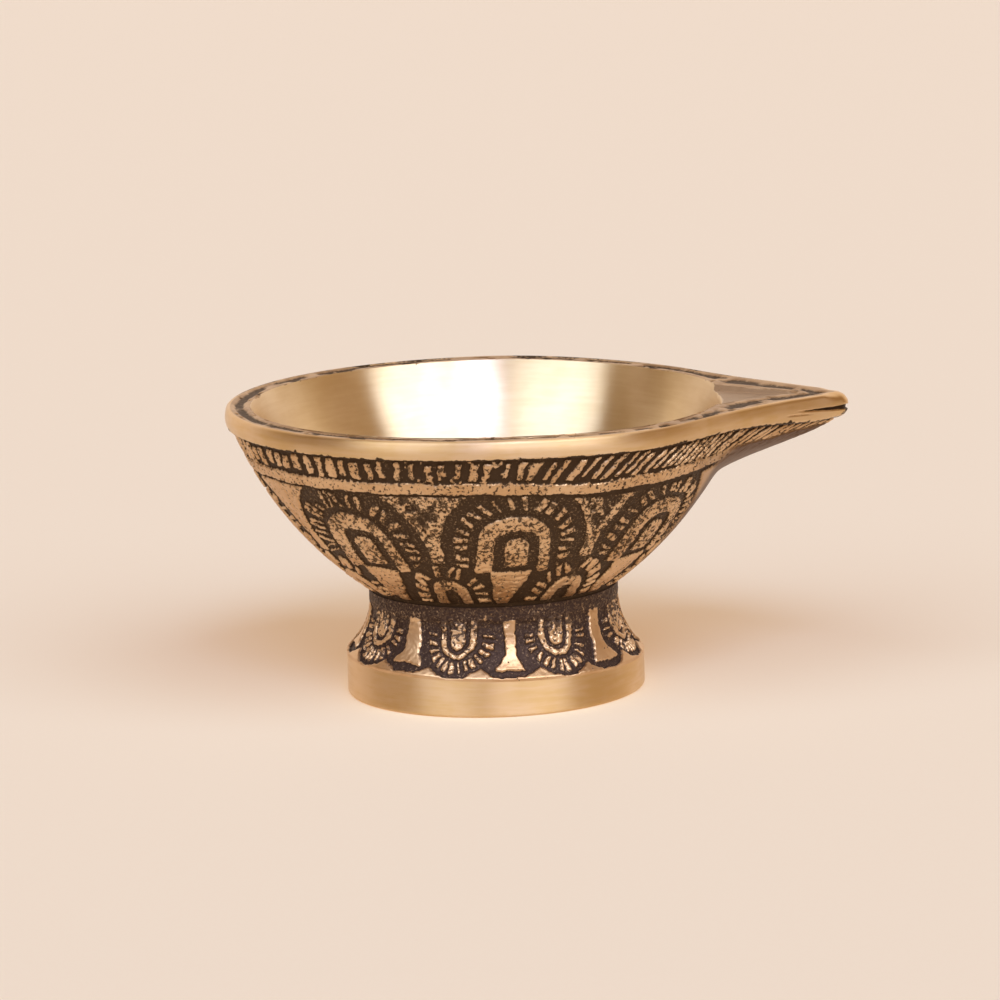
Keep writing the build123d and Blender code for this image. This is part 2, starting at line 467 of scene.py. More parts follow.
def bowl_carving(theta, z, points):
    """Raised share (1 bright metal, 0 dark ground), pitting and brown share of the bowl's outside."""
    wander = 0.24 * rough(points, 2.8, 11) + 0.13 * noise(points, 0.45, 12)
    height = z + 0.22 * rough(points, 2.8, 21) + 0.13 * noise(points, 0.45, 22)
    radius = side_radius(z)
    number, across = petal_place(theta, radius)
    petal, petal_out = petal_relief(across + wander, height, number)
    number, across = petal_place(theta, radius, gap=1)
    bud, bud_in = bud_relief(across + wander, height, number)
    petal_in = inside(petal_out)
    blotch = smooth(-0.45, 0.1, rough(points, 0.8, 14)) * smooth(-0.7, 0.0, noise(points, 5.0, 15))
    worn_bright = smooth(bright_field, bright_field + 12, np.degrees(-theta))
    blotch = blotch * (1 - 0.75 * worn_bright)
    field = 1 - 0.75 * blotch * smooth(field_border, field_border + 0.6, petal_out)
    raised = petal_in * petal + (1 - petal_in) * field
    raised = raised * (1 - bud_in) + bud_in * bud
    pits = petal_pits[0] + petal_pits[1] * smooth(arch_foot - 0.8, arch_foot + 2, height)
    pits = petal_in * pits + field_pits * (1 - petal_in)
    pits = pits * (1 - 0.7 * worn_bright)

    turn = np.degrees(np.abs(theta))
    plain_edge = plain_turn + plain_lean * (height - plain_height)
    plain = inside(turn - plain_edge, 0.6)
    edge = plain * inside(plain_edge - edge_line - turn, 0.6)
    raised = (raised + (plain_bright - raised) * plain) * (1 - edge)
    pits = pits * (1 - plain)

    level = height + np.interp(turn, *band_dip)
    drop = lip_low(theta) - z
    groove = groove_thin + (groove_thick - groove_thin) * (1 - smooth(52, 83, turn))
    over_groove = inside(groove_high - groove - level)
    spikes = 0.3 * np.maximum(noise(points * [1, 1, 0.3], 0.3, 16), 0)
    band = between(groove_high, band_high + spikes, level)
    over_band = inside(band_high + 0.1 - level)
    rope = over_band * inside(0.1 - drop) * rope_relief(theta, level - band_high, drop, points)
    keel = inside(turn - keel_turn, 3.0)
    raised = raised * (1 - over_groove) + np.maximum(band, rope)
    raised = raised * (1 - keel) + keel * np.maximum(plain_bright * (1 - over_band), rope)
    pits = (pits * (1 - over_groove) + 0.36 * band + 0.4 * rope) * (1 - 0.7 * keel)
    # The metal is browner on the plain part beside the spout, on the keel and under the spout.
    brown_share = plain_brown * plain + (keel_brown - plain_brown) * keel
    under_spout = keel_brown * smooth(spout_edge, spout_edge + 4, points[..., 0])
    brown_share = np.maximum(brown_share, under_spout) * (1 - over_band)

    # Dark band at the bottom of the bowl, where it sits on the foot: patina, and painted shade of the
    # crease.
    crease_patina_and_shade = 1 - smooth(seat_height, seat_height + 0.8, z)
    return np.clip(raised, 0, 1) * (1 - crease_patina_and_shade), pits, brown_share


# Rings of the bowl
CARVED, TURNED, CAST, INSIDE = range(4)  # finishes, in the order of a piece's materials
FINE_FROM = 20.0  # from this height up, the bowl's columns are twice as close


def ring(points, patina=0.0, pits=0.0, cast=0.0, sharp=False, finish=CARVED):
    """One ring of a skin with its surface values, and the finish of the faces that follow it."""
    count = len(points)
    values = [np.broadcast_to(np.asarray(v, float), count) for v in (patina, pits, cast)]
    return dict(points=points, values=values, sharp=sharp, finish=finish)


def circle(theta, rho, z, **facts):
    """A plain ring at one radius and height."""
    return ring(polar(theta, np.full_like(theta, rho), z), **facts)


def corner(theta, rho, z, patina=0.0, finish=CAST):
    """A plain ring that is a crisp corner."""
    return circle(theta, rho, z, patina=patina, sharp=True, finish=finish)


def arc_rings(theta, middle, radius, angles, finish):
    """Plain rings along an arc about a point, given by its distance from the axis and its height."""
    rho, z = middle
    return [
        circle(theta, rho + radius * math.cos(a), z + radius * math.sin(a), finish=finish)
        for a in angles
    ]


def bowl_columns():
    """Polar angles of the bowl's columns, closer together along the spout."""
    ends = (-math.pi, -spout_half_angle, spout_half_angle, math.pi)
    counts = (back_columns, spout_columns, back_columns)
    stretches = [np.linspace(a, b, n, endpoint=False) for a, b, n in zip(ends, ends[1:], counts)]
    return np.concatenate(stretches)


def carved_rings(theta, heights):
    """The bowl's carved side between the seat and the lip."""
    z, turn = np.meshgrid(heights, theta, indexing="ij")
    z = z - (lip_underside - lip_low(turn)) * ((z - seat_height) / body_height) ** 8
    points = outside_point(turn, z)
    raised, pits, brown_share = bowl_carving(turn, z, points)
    raised = raised * (1 - 0.9 * pits * smooth(0.1, 0.45, noise(points, 0.36, 33)))
    grain = 0.05 * noise(points, 0.35, 31) * (1 - 0.6 * raised)
    depth = carve_depth * (1 - raised) + grain
    points = points - surface_normal(outside_point, turn, z) * depth[..., None]
    return [ring(p, 1 - r, q, t) for p, r, q, t in zip(points, raised, pits, brown_share)]


def lip_rings(theta):
    """The rounded lip with its slightly swollen face, its uneven edges and a slit at the tip."""
    rings = []
    quarter = np.linspace(0, math.pi / 2, 7)
    lower = [(lip_round * (1 - math.sin(q)), lip_round * (1 - math.cos(q))) for q in quarter]
    face = lip_height - 2 * lip_round
    steps = np.linspace(0, 1, 20)[1:-1]
    middle = [(-lip_crown * math.sin(math.pi * t), lip_round + face * t) for t in steps]
    upper = [(inset, lip_height - h) for inset, h in reversed(lower)]
    low = lip_low(theta)
    for inset, h in lower + middle + upper:
        z = low + (rim_height - low) * h / lip_height
        plain = polar(theta, lip_rho(theta, 0.0), z)
        near = theta < slit_end
        opening = near * np.clip((plain[:, 0] - slit_start) / (spout_tip - slit_start), 0, 1)
        slit_height = lip_height * (0.5 - 0.06 * opening) + 0.06 * rough(plain, 1.2, 56)
        slit = np.minimum(6 * opening, 1) * inside(np.abs(h - slit_height) - slit_half * opening, 0.06)
        cracked = near * between(*crack, plain[:, 0], 0.5) * inside(np.abs(h - crack_height) - 0.04, 0.07)
        slit = np.maximum(slit, 0.6 * cracked)
        drawn_back = tip_inset(theta) * abs(2 * h / lip_height - 1) ** 3
        points = polar(theta, lip_rho(theta, inset + slit_depth * slit + drawn_back), z)
        ragged = 0.35 * rough(points, 0.9, 54) + 0.15 * noise(points, 0.35, 57)
        points[:, 2] += 0.3 * ragged * (1 - smooth(0, 0.9, h))
        specks = smooth(0.35, 0.7, noise(points, 0.8, 53)) * 0.5
        low_edge = 1 - smooth(0.05, 0.4, h + ragged)
        top_edge = smooth(lip_height - 0.35, lip_height, h + 0.3 * rough(points, 1.6, 55))
        nose = smooth(spout_tip - 0.9, spout_tip - 0.3, plain[:, 0]) * between(0.1, 0.42, h / lip_height)
        top_edge = top_edge * (0.3 + 0.5 * smooth(0, 0.4, np.sin(theta)))
        patina = np.clip(0.25 * specks + low_edge + top_edge + slit + 0.7 * nose, 0, 1)
        rings.append(ring(points, patina, 0.05, finish=TURNED))
    return rings


def rim_rings(theta):
    """The hammered top of the rim, from the lip in to the mouth or the edge of the trough."""
    outer = lip_rho(theta, lip_round + tip_inset(theta))
    inner = rim_edge(theta)
    rings = []
    for share in np.linspace(0, 1, 19)[1:]:
        plain = polar(theta, outer + (inner - outer) * share, rim_height)
        waver = 0.2 * share * rough(plain, 2.6, 63)
        points = polar(theta, outer + (inner - outer) * share + waver, rim_height)
        coarse = rough(points, 2.6, 61)
        middle = 0.5 - 0.22 * np.sin(theta) + 0.12 * coarse
        line = inside(np.abs(share - middle) - 0.24, 0.1) * smooth(-0.5, -0.05, rough(points, 4.0, 65))
        dents = smooth(0.2, 0.45, coarse + 0.15 * noise(points, 0.6, 62)) * smooth(0.05, 0.25, share)
        dark = np.maximum(0.85 * line, dents)
        points[:, 2] -= 0.3 * dark + 0.3 * share * (1 - share)
        points[:, 2] -= 0.12 * smooth(0.8, 1.0, share) * (1 + rough(points, 2.0, 64))
        rings.append(ring(points, np.clip(0.12 + 0.8 * dark, 0, 1), 0.2, 0.4, finish=CAST))
    rings[-1]["sharp"] = True
    return rings


mouth_radius = float(side_radius(rim_height, casting_wall))
trough_radius = mouth_radius - trough_inset


def rim_edge(theta):
    """Distance from the axis to the inner edge of the rim's top."""
    return np.maximum(mouth_radius, teardrop(theta, trough_radius, trough_end, trough_nose))


def trough_height(x, y):
    """Height of the trough's surface: leaning sides and a floor that climbs to the tip."""
    hollow_x, hollow_y = hollow_centre(trough_radius, trough_end, trough_nose)
    flank = np.hypot(x - hollow_x, np.abs(y) - hollow_y) - flank_radius
    nose_x = trough_end - trough_nose
    tip = trough_nose - np.hypot(np.maximum(x - nose_x, 0), y)
    within = np.where(x > nose_x, np.minimum(flank, tip), flank)
    within = np.where(np.abs(y) * hollow_x > x * hollow_y, 0, within)
    wall = np.maximum(within, 0) / math.tan(math.radians(trough_draft))
    floor = trough_depth - trough_rise * (x - mouth_radius) / (trough_end - mouth_radius)
    return rim_height - (wall + floor - soft_max(wall, floor, 0.3))


def inside_height(rho):
    """Height of the turned hollow at a distance from the axis."""
    return arc_centre_z - np.sqrt((arc_radius - casting_wall) ** 2 - (rho - arc_centre_r) ** 2)


def trough_rings(theta):
    """From the rim's inner edge through the trough, or straight down the wall, to one level ring."""
    end_rho = float(side_radius(trough_level, casting_wall))
    start = rim_edge(theta)[:, None]
    rho = start + (end_rho - start) * np.linspace(0, 1, 400)
    wall = np.where(rho < mouth_radius, inside_height(np.minimum(rho, mouth_radius)), rim_height)
    in_trough = trough_height(rho * np.cos(theta)[:, None], rho * np.sin(theta)[:, None])
    z = np.minimum(wall, in_trough)
    cast = (in_trough < wall - 0.02) * 1.0
    way = np.hypot(np.diff(rho, axis=1), np.diff(z, axis=1)).cumsum(axis=1)
    way = np.concatenate([np.zeros((len(theta), 1)), way], axis=1)
    shares = np.linspace(0, 1, 26)[1:]
    columns = [[np.interp(w[-1] * shares, w, v) for v in values] for w, *values in zip(way, rho, z, cast)]
    rings = []
    for rho_at, z_at, cast_at in np.array(columns).transpose(2, 1, 0):
        points = polar(theta, rho_at, z_at)
        points[:, 2] -= 0.08 * (1 + rough(points, 1.5, 71)) * cast_at
        patina = cast_at * np.clip(0.22 + 0.3 * rough(points, 2.0, 72), 0, 1)
        rings.append(ring(points, patina, 0.15 * cast_at, cast_at, finish=INSIDE))
    return rings


def inside_rings(theta):
    """The turned hollow below the trough: wall, rounded corner and flat floor."""
    radius = arc_radius - casting_wall
    corner_z = inside_floor + floor_round
    corner_r = float(side_radius(corner_z, casting_wall + floor_round))
    top = math.asin((trough_level - arc_centre_z) / radius)
    lean = math.atan2(corner_z - arc_centre_z, corner_r - arc_centre_r)
    angles = np.linspace(top, lean, 40)[1:]
    rings = arc_rings(theta, (arc_centre_r, arc_centre_z), radius, angles, INSIDE)
    angles = np.linspace(lean, -math.pi / 2, 12)[1:]
    rings += arc_rings(theta, (corner_r, corner_z), floor_round, angles, INSIDE)
    for share, step in ((0.75, 1), (0.5, 2), (0.25, 2)):
        rings.append(circle(theta[::step], corner_r * share, inside_floor, finish=INSIDE))
    return rings


def bowl_rings():
    """All rings of the bowl, from its screw hole up the outside, over the rim and down to the floor."""
    full = bowl_columns()
    half, quarter, eighth = full[::2], full[::4], full[::8]
    under = [
        corner(eighth, hole_radius, hole_end),
        corner(eighth, hole_radius, spigot_end),
        corner(quarter, spigot_radius, spigot_end),
        corner(quarter, spigot_radius, seat_height),
        # Dark bottom edge of the carving: patina, and painted shade of the crease.
        corner(half, seat_radius, seat_height, patina=1.0, finish=CARVED),
    ]
    rows = int(arc_radius * (arc_high - arc_low) / row_step)
    heights = arc_centre_z + arc_radius * np.sin(np.linspace(arc_low, arc_high, rows))
    low = heights[heights < FINE_FROM][1:]
    high = heights[heights >= FINE_FROM]
    side = carved_rings(half, low) + carved_rings(full, high)
    rings = under + side + lip_rings(full) + rim_rings(full) + trough_rings(half) + inside_rings(quarter)
    for one in rings:
        one["points"] = sagged(one["points"])
    return rings


# Foot
flare_run = np.array([neck_radius - ring_radius + ring_edge, flare_height])
flare_chord = float(np.hypot(*flare_run))
flare_radius = (flare_chord**2 / 4 + flare_sag**2) / (2 * flare_sag)
flare_out = np.array([flare_run[1], -flare_run[0]]) / flare_chord
flare_centre = (
    np.array([ring_radius - ring_edge + neck_radius, ring_height + collar_base]) / 2
    + flare_out * (flare_radius - flare_sag)
)

leaf_mid = 9.2  # height where the leaves on the foot begin to close
leaf_drop = (1.0, 8.1)  # half-width and lowest point of each U of a leaf, from the inside out
leaf_groove = (1.6, 7.6)
leaf_band = (2.4, 7.0)
leaf_tick_inner = (3.1, 6.6)
leaf_tick_outer = (4.4, 5.15)
leaf_outline = (5.0, 4.6)
leaf_drop_top = 11.8
leaf_band_top = 12.2
leaf_ticks = (3.6, 0.95, 0.45)
bell_half = 0.74
bell_flare = 1.0
wide_bell = 1.3  # the bells beside the front one are this much wider
bell_low = 5.6
bell_top = 11.9
link_low = 4.72  # dark line that joins the leaves under the bells
link_rise = 0.09
carving_low = 4.3  # the carving starts here, just under the ring's upper edge


def foot_radius(z):
    """Radius of the foot's outside at a height."""
    flare = flare_centre[0] - np.sqrt(np.maximum(flare_radius**2 - (z - flare_centre[1]) ** 2, 0))
    edge = np.minimum(ring_radius, ring_radius - ring_edge + (ring_height - z))
    return np.where(z > collar_base, neck_radius, np.where(z > ring_height, flare, edge))


def foot_point(theta, z):
    """The foot's outside before carving."""
    return polar(theta, foot_radius(z), z)


def ring_tilted(points):
    """The foot's points with the ring's upper edge raised and tilted, and the collar left in place."""
    x, y, z = points.T
    lift = ring_rise - ring_tilt * x / np.hypot(x, y)
    below = (z - ring_edge) / (ring_height - ring_edge)
    share = np.where(z < ring_height, below, (collar_base - z) / flare_height)
    return np.column_stack([x, y, z + lift * np.clip(share, 0, 1)])


def foot_carving(theta, z, points):
    """Raised share and pitting of the foot's flare and collar."""
    wander = 0.42 * rough(points, 2.8, 111) + 0.13 * noise(points, 0.42, 112)
    height = z + 0.36 * rough(points, 2.8, 121) + 0.11 * noise(points, 0.42, 122)
    radius = foot_radius(z)
    leaf_number, across = petal_place(theta, radius, gap=1)
    across = across + wander
    bell_number, bell_across = petal_place(theta, radius)
    bell_across = bell_across + wander

    def leaf(half, low):
        """1 within a U that hangs down, straight-sided above its middle height and round below."""
        return inside(round_distance(across, leaf_mid - height, half, leaf_mid - low, 2))

    drop = leaf(*leaf_drop) * inside(height - leaf_drop_top)
    band = leaf(*leaf_band) * (1 - leaf(*leaf_groove)) * inside(height - leaf_band_top)
    fan = leaf(*leaf_tick_outer) * (1 - leaf(*leaf_tick_inner)) * inside(height - leaf_mid - 1.0)
    tick_radius, pitch, width = leaf_ticks
    angle = np.arctan2(leaf_mid - np.minimum(height, leaf_mid), across)
    run = angle * tick_radius + np.where(across > 0, -1, 1) * np.maximum(height - leaf_mid, 0)
    fan = fan * ticks(run + 30 * pitch, 0, pitch, width, leaf_number, 131)
    skirt = bell_half + bell_flare * (1 - smooth(bell_low, bell_low + 2.6, height)) ** 1.5
    skirt = skirt * np.where(np.abs(bell_number) == 1, wide_bell, 1)
    bell = inside(np.abs(bell_across) - skirt) * between(bell_low, bell_top, height)
    link = inside(link_low + link_rise * bell_across**2 - height)
    ground = np.maximum(leaf(*leaf_outline), link)
    raised = 1 - ground * (1 - np.clip(drop + band + fan + bell, 0, 1))

    # Dark band round the neck under the bowl, with bright specks low in it: patina, and painted shade of
    # the bowl's overhang.
    worn = smooth(11.0, 12.6, height + 0.7 * rough(points, 0.9, 141))
    specks = 0.6 * smooth(0.1, 0.5, noise(points, 0.4, 142)) * inside(z - collar_base - 0.6)
    raised = raised * (1 - worn) + worn * specks
    # Dark crease at the top of the foot, under the bowl: patina, and painted shade.
    crease_patina_and_shade = smooth(seat_height - 1.0, seat_height - 0.4, z)
    pits = (0.45 + 0.5 * smooth(8.5, 11.5, height)) * ground * (1 - bell)
    return raised * (1 - crease_patina_and_shade), pits


def foot_rings():
    """All rings of the foot, from the hollow's lower edge out and up, down the socket and back."""
    full = (np.arange(foot_columns) + 0.5) * 2 * math.pi / foot_columns - math.pi
    half, quarter = full[::2], full[::4]
    hollow_radius = ring_radius - ring_wall
    rings = [circle(half, hollow_radius, 0.0, finish=CAST)]
    edge = (ring_radius - ring_edge, ring_edge)
    rings += arc_rings(half, edge, ring_edge, np.linspace(-math.pi / 2, 0, 6), TURNED)
    for z in np.linspace(ring_edge, carving_low, 14)[1:]:
        rings.append(circle(half, ring_radius, z, finish=TURNED))
    rings.append(circle(full, ring_radius, carving_low + 0.02))
    heights = np.arange(carving_low + 0.1, seat_height, 0.11)
    z, turn = np.meshgrid(heights, full, indexing="ij")
    points = foot_point(turn, z)
    raised, pits = foot_carving(turn, z, points)
    raised = raised * (1 - 0.8 * pits * smooth(0.15, 0.5, noise(points, 0.36, 152)))
    sunk = (1 - raised) * (1 - 0.8 * smooth(collar_base - 1.0, collar_base, z))
    depth = carve_depth * sunk + 0.05 * noise(points, 0.3, 151) * (1 - 0.6 * raised)
    points = points - surface_normal(foot_point, turn, z) * depth[..., None]
    rings += [ring(p, 1 - r, q) for p, r, q in zip(points, raised, pits)]
    for one in rings[1:]:
        one["points"] = ring_tilted(one["points"])
    rings += [
        # Dark top edge under the bowl: patina, and painted shade of the crease.
        corner(full, neck_radius - 0.2 * carve_depth, seat_height, patina=1.0),
        corner(half, socket_radius, seat_height),
        corner(half, socket_radius, socket_floor),
        corner(quarter, bore_radius, socket_floor),
        corner(quarter, bore_radius, web_underside),
    ]
    return rings + hollow_rings(half, hollow_radius)


def hollow_rings(theta, hollow_radius):
    """The foot's hollow underside: the web, a rounded corner and the drafted wall."""
    hollow_top = hollow_radius - hollow_draft
    draft = math.atan2(hollow_draft, web_underside)
    setback = hollow_round * math.tan((math.pi / 2 - draft) / 2)
    middle = (hollow_top - setback, web_underside - hollow_round)
    rings = arc_rings(theta, middle, hollow_round, np.linspace(math.pi / 2, draft, 7), CAST)
    last = rings[-1]["points"][0]
    start = (math.hypot(last[0], last[1]), last[2])
    for share in np.linspace(0, 1, 8)[1:-1]:
        rho = start[0] + (hollow_radius - start[0]) * share
        rings.append(circle(theta, rho, start[1] * (1 - share), finish=CAST))
    return rings


# Meshes


def strip_faces(start_a, count_a, start_b, count_b):
    """Faces between two neighbouring rings, and how far round each corner lies."""
    n = min(count_a, count_b)
    a, b = count_a // n, count_b // n
    j = np.arange(n)
    lower = [a * j + i for i in range(a + 1)]
    upper = [b * j + i for i in range(b, -1, -1)]
    corners = [start_a + c % count_a for c in lower] + [start_b + c % count_b for c in upper]
    around = [c / count_a for c in lower] + [c / count_b for c in upper]
    return np.stack(corners, axis=1), np.stack(around, axis=1), len(lower)


def ring_skin(name, rings, finishes, closed=False, first_point=None, last_point=None):
    """A closed skin through rings about the axis. Neighbours may differ in count by a factor of two."""
    counts = [len(r["points"]) for r in rings]
    starts = np.concatenate([[0], np.cumsum(counts)])
    points = np.concatenate([r["points"] for r in rings])
    way = [0.0]
    for one, two in zip(rings, rings[1:] + rings[:1]):
        few = min(len(one["points"]), len(two["points"]))
        gap = one["points"][:: len(one["points"]) // few] - two["points"][:: len(two["points"]) // few]
        way.append(way[-1] + float(np.linalg.norm(gap, axis=1).mean()) + 0.02)
    faces, spots, kinds = [], [], []

    def add_faces(corners, around, along, finish):
        faces.extend(corners.tolist())
        spots.append(np.stack([around, np.broadcast_to(along, around.shape)], axis=-1).reshape(-1, 2))
        kinds.extend([finish] * len(corners))

    pairs = len(rings) if closed else len(rings) - 1
    for i in range(pairs):
        k = (i + 1) % len(rings)
        corners, around, lower = strip_faces(starts[i], counts[i], starts[k], counts[k])
        along = np.where(np.arange(corners.shape[1]) < lower, way[i], way[i + 1])
        add_faces(corners, around, along, rings[i]["finish"])
    for tip, i in ((first_point, 0), (last_point, len(rings) - 1)):
        if tip is None:
            continue
        points = np.concatenate([points, [tip]])
        j = np.arange(counts[i])
        edge = [starts[i] + j, starts[i] + (j + 1) % counts[i]]
        turn = [j / counts[i], (j + 1) / counts[i]]
        if i == 0:
            edge.reverse()
            turn.reverse()
        corners = np.stack(edge + [np.full_like(j, len(points) - 1)], axis=1)
        around = np.stack(turn + [(j + 0.5) / counts[i]], axis=1)
        along = way[i] + np.array([0, 0, -1.0 if i == 0 else 1.0])
        add_faces(corners, around, along, rings[i]["finish"])

    mesh = bpy.data.meshes.new(name)
    mesh.from_pydata(points * MM, [], faces)
    mesh.polygons.foreach_set("use_smooth", np.ones(len(faces), bool))
    mesh.polygons.foreach_set("material_index", np.array(kinds, np.int32))
    for finish in finishes:
        mesh.materials.append(finish)
    for i, attribute in enumerate(("patina", "pits", "cast")):
        values = np.concatenate([r["values"][i] for r in rings])
        values = np.concatenate([values, np.zeros(len(points) - len(values))])
        layer = mesh.attributes.new(attribute, "FLOAT", "POINT")
        layer.data.foreach_set("value", values.astype(np.float32))
    spots = np.concatenate(spots)
    low, high = spots.min(axis=0), spots.max(axis=0)
    spots = 0.004 + 0.992 * (spots - low) / (high - low)
    mesh.uv_layers.new(name="OFBake").data.foreach_set("uv", spots.astype(np.float32).ravel())
    mark_sharp(mesh, rings, starts)
    mesh.update()
    piece = bpy.data.objects.new(name, mesh)
    bpy.context.scene.collection.objects.link(piece)
    return piece


def mark_sharp(mesh, rings, starts):
    """Keeps the shading crisp along the rings that are corners."""
    owner = np.full(len(mesh.vertices), -1)
    for i, one in enumerate(rings):
        if one["sharp"]:
            owner[starts[i] : starts[i + 1]] = i
    ends = np.empty(2 * len(mesh.edges), np.int32)
    mesh.edges.foreach_get("vertices", ends)
    a, b = owner[ends[0::2]], owner[ends[1::2]]
    mesh.edges.foreach_set("use_edge_sharp", (a == b) & (a >= 0))


# Finishes


class Graph:
    """The node tree of a material or world, with short ways to add and join nodes."""

    def __init__(self, holder, kind):
        holder.use_nodes = True
        self.holder = holder
        self.tree = holder.node_tree
        self.tree.nodes.clear()
        self.output = self.add("Output" + kind).inputs[0]

    def add(self, kind, inputs=(), **settings):
        """A node with these settings, whose inputs are joined to sockets or set to values."""
        node = self.tree.nodes.new("ShaderNode" + kind)
        for key, value in settings.items():
            setattr(node, key, value)
        for key, value in dict(inputs).items():
            if isinstance(value, bpy.types.NodeSocket):
                self.join(value, node.inputs[key])
            else:
                node.inputs[key].default_value = value
        return node

    def join(self, source, socket):
        self.tree.links.new(source, socket)

    def value(self, attribute):
        return self.add("Attribute", attribute_name=attribute).outputs["Fac"]

    def place(self, kind="Object"):
        return self.add("TexCoord").outputs[kind]

    def math(self, operation, *values):
        return self.add("Math", enumerate(values), operation=operation).outputs[0]

    def plus(self, a, b):
        return self.math("ADD", a, b)

    def minus(self, a, b):
        return self.math("SUBTRACT", a, b)

    def times(self, a, b):
        return self.math("MULTIPLY", a, b)

    def swing(self, texture, amount):
        """A texture's swing about its middle, times an amount."""
        return self.times(self.minus(texture, 0.5), amount)

    def noise(self, vector, size, detail=2.0, roughness=0.5):
        facts = {"Vector": vector, "Scale": 1 / (size * MM), "Detail": detail, "Roughness": roughness}
        return self.add("TexNoise", facts).outputs["Fac"]

    def span(self, value, low, high, to_low=0.0, to_high=1.0, shape="SMOOTHSTEP"):
        facts = enumerate((value, low, high, to_low, to_high))
        return self.add("MapRange", facts, interpolation_type=shape).outputs[0]

    def mix(self, share, a, b):
        return self.add("Mix", {0: share, 6: a, 7: b}, data_type="RGBA").outputs[2]

    def blend(self, share, a, b):
        return self.add("Mix", {0: share, 2: a, 3: b}, data_type="FLOAT").outputs[0]

    def coat(self, share, metal, dark, metallic, roughness):
        """Metal with a dark coat on a share of it. Each pair is for the metal and for the coat."""
        self.join(self.mix(share, metal, dark), self.shader.inputs["Base Color"])
        self.join(self.blend(share, *metallic), self.shader.inputs["Metallic"])
        self.join(self.blend(share, *roughness), self.shader.inputs["Roughness"])

    def bump(self, height, depth, strength):
        facts = {"Height": height, "Distance": depth * MM, "Strength": strength}
        self.join(self.add("Bump", facts).outputs[0], self.shader.inputs["Normal"])

    def stretched(self, share):
        """A place that runs along level streaks: across, it grows by only that share."""
        facts = {"Vector": self.place(), "Scale": (share, share, 1.0)}
        return self.add("Mapping", facts).outputs[0]

    def rings(self):
        """A place that only knows the distance from the axis and the height, for lathe marks."""
        x, y, z = self.add("SeparateXYZ", {0: self.place()}).outputs
        rho = self.math("SQRT", self.plus(self.times(x, x), self.times(y, y)))
        return self.add("CombineXYZ", {0: rho, 2: z}).outputs[0]


def material_graph(name):
    """The graph of a new material, with its shader."""
    g = Graph(bpy.data.materials.new(name), "Material")
    g.shader = g.add("BsdfPrincipled")
    g.join(g.shader.outputs[0], g.output)
    return g


def colour(r, g, b):
    """An sRGB colour from 0 to 255 as linear values."""
    return tuple(((c / 255 + 0.055) / 1.055) ** 2.4 if c > 10 else c / 3295 for c in (r, g, b)) + (1.0,)


brass_bright = colour(226, 191, 150)
brass_deep = colour(208, 168, 123)
lip_bright = colour(234, 202, 160)
lip_deep = colour(226, 190, 135)
inside_bright = colour(240, 220, 187)
inside_deep = colour(231, 208, 170)
bowl_dark = colour(76, 57, 38)
# The foot's dark ground is patina. Its tint, bluer than the bowl's, is painted shade of the bowl over the
# foot.
foot_dark_with_painted_shade = colour(74, 56, 47)
cast_brown = colour(184, 140, 98)
spout_brown = colour(104, 74, 48)
rim_bright = colour(204, 174, 138)
rim_deep = colour(174, 142, 108)
fastener_deep = colour(150, 116, 74)
paper_low = colour(192, 205, 194)
paper_high = colour(196, 208, 197)
painted_paper_glow = (0.464, 0.218, 0.067, 1.0)  # painted warm glow of the paper, for light from all round; it keeps the shadows on it pale and warm


def carved_brass(name, dark):
    """Worn bright metal standing out of a dark ground, with pits and a cast grain."""
    g = material_graph(name)
    place = g.place()
    fine = g.noise(place, 0.28, 3.0, 0.65)
    speck = g.noise(place, 0.5, 2.0, 0.6)
    broad = g.noise(place, 5.0, 2.0)
    ragged = g.plus(g.value("patina"), g.swing(fine, 0.9))
    pits = g.value("pits")
    grit = g.plus(g.noise(place, 0.3, 3.0, 0.7), g.times(pits, 0.14))
    grains = g.times(g.span(grit, 0.62, 0.8), 0.5)
    ground = g.times(g.span(ragged, 0.32, 0.68), g.minus(1.0, grains))
    pitting = g.minus(0.70, g.times(pits, 0.29))
    patchy = g.plus(pitting, g.swing(broad, -0.25))
    pit = g.times(g.span(g.minus(speck, patchy), -0.03, 0.05), 0.9)
    dark_share = g.math("MAXIMUM", ground, pit)
    metal = g.mix(g.span(broad, 0.3, 0.7), brass_bright, brass_deep)
    # Browner where the cast value is set: on the spout's underside and the plain part beside it.
    metal = g.mix(g.value("cast"), metal, spout_brown)
    g.coat(dark_share, metal, dark, (1.0, 0.8), (0.42, 0.62))
    grain = g.plus(0.12, g.times(g.math("MAXIMUM", pits, ground), 0.5))
    g.bump(g.minus(g.times(fine, grain), g.times(pit, 0.8)), 0.06, 0.6)
    return g.holder


